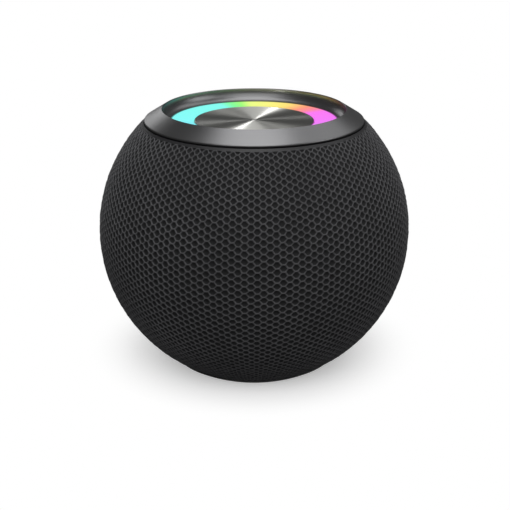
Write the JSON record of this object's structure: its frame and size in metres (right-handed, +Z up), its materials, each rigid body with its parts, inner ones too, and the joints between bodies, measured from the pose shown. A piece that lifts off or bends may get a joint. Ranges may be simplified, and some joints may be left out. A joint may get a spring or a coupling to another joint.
{
  "type": "smart speaker",
  "caption": "Ball-shaped tabletop smart speaker in open grey knit with a sloping metal ring, glowing light ring, round press-down play button and flat foot.",
  "frame": {"origin": "on the ball's vertical axis, in the plane that the foot stands on", "axes": "+Z up along the axis through the play button; the front looks to -Y and the key panel to +Y"},
  "size_m": [0.1, 0.1004, 0.0858],
  "materials": {
    "metal_trim": "satin gunmetal anodised",
    "button_metal": "fine circular brushed",
    "opal": "opal translucent",
    "white_plastic": "matt white",
    "dark_plastic": "fine matt",
    "knit": "coarse open knit",
    "key_rubber": "soft matt",
    "foot_rubber": "matt",
    "silicone": "translucent matt",
    "membrane": "matt",
    "paper_cone": "matt",
    "spider_cloth": "impregnated cloth",
    "coil_copper": "enamelled wire",
    "steel": "zinc plated",
    "magnet_ferrite": "ground ferrite",
    "board_green": "solder mask",
    "chip_black": "moulded",
    "chip_white": "light chip",
    "battery_wrap": "foil pouch",
    "foam": "foam",
    "flex_film": "polyimide"
  },
  "bodies": {
    "housing": {"trim_ring": "metal_trim", "light_diffuser": "opal", "light_reflector": "white_plastic", "light_chips": "chip_white", "light_board": "board_green", "microphones": "steel", "tact_switch": "chip_black", "light_board_screws": "steel", "return_pad": "silicone", "top_deck": "dark_plastic", "deck_screws": "steel", "acoustic_chamber": "dark_plastic", "chamber_gasket": "foam", "chamber_lid": "dark_plastic", "lid_screws": "steel", "battery_pad": "foam", "battery_cell": "battery_wrap", "main_board": "board_green", "board_screws": "steel", "board_shield": "steel", "board_parts": "chip_black", "ribbon_cable": "flex_film", "driver_basket": "steel", "driver_screws": "steel", "driver_top_plate": "steel", "driver_magnet": "magnet_ferrite", "driver_yoke": "steel", "driver_surround": "membrane", "driver_spider": "spider_cloth", "left_radiator_frame": "dark_plastic", "left_radiator_surround": "membrane", "right_radiator_frame": "dark_plastic", "right_radiator_surround": "membrane", "waveguide": "dark_plastic", "waveguide_screws": "steel", "base_shell": "dark_plastic", "base_screws": "steel", "rubber_foot": "foot_rubber", "knit_cover": "knit", "grille_shell": "dark_plastic", "port_panel": "dark_plastic", "key_board": "board_green", "key_board_screws": "steel", "key_switches": "chip_black", "usb_c_socket": "steel", "key_flex": "flex_film"},
    "play_button": {"button_cap": "button_metal", "button_carrier": "dark_plastic", "switch_plunger": "dark_plastic"},
    "driver_diaphragm": {"driver_cone": "paper_cone", "dust_cap": "paper_cone", "voice_coil": "coil_copper"},
    "left_radiator": {"left_radiator_plate": "steel"},
    "right_radiator": {"right_radiator_plate": "steel"},
    "mute_key": {"mute_key": "key_rubber"},
    "minus_key": {"minus_key": "key_rubber"},
    "plus_key": {"plus_key": "key_rubber"},
    "power_key": {"power_key": "key_rubber"}
  },
  "joints": [
    {"name": "play_button_press", "type": "slide", "parent": "housing", "child": "play_button", "axis": [0, 0, -1], "range_m": [0, 0.0005], "stiffness_N_per_m": 3000, "springref_m": -0.0002, "deforming": ["return_pad"]},
    {"name": "driver_excursion", "type": "slide", "parent": "housing", "child": "driver_diaphragm", "axis": [0, 0, 1], "range_m": [-0.002, 0.002], "stiffness_N_per_m": 1400, "deforming": ["driver_surround", "driver_spider"]},
    {"name": "left_radiator_excursion", "type": "slide", "parent": "housing", "child": "left_radiator", "axis": [-1, 0, 0], "range_m": [-0.002, 0.002], "stiffness_N_per_m": 900, "deforming": ["left_radiator_surround"]},
    {"name": "right_radiator_excursion", "type": "slide", "parent": "housing", "child": "right_radiator", "axis": [1, 0, 0], "range_m": [-0.002, 0.002], "stiffness_N_per_m": 900, "deforming": ["right_radiator_surround"]},
    {"name": "mute_key_press", "type": "slide", "parent": "housing", "child": "mute_key", "axis": [0, -1, 0], "range_m": [0, 0.0004], "stiffness_N_per_m": 3000, "springref_m": -0.0001},
    {"name": "minus_key_press", "type": "slide", "parent": "housing", "child": "minus_key", "axis": [0, -1, 0], "range_m": [0, 0.0004], "stiffness_N_per_m": 3000, "springref_m": -0.0001},
    {"name": "plus_key_press", "type": "slide", "parent": "housing", "child": "plus_key", "axis": [0, -1, 0], "range_m": [0, 0.0004], "stiffness_N_per_m": 3000, "springref_m": -0.0001},
    {"name": "power_key_press", "type": "slide", "parent": "housing", "child": "power_key", "axis": [0, -1, 0], "range_m": [0, 0.0004], "stiffness_N_per_m": 3000, "springref_m": -0.0001}
  ],
  "couplings": [
    {"joint": "left_radiator_excursion", "follows": "right_radiator_excursion", "ratio": 1}
  ]
}
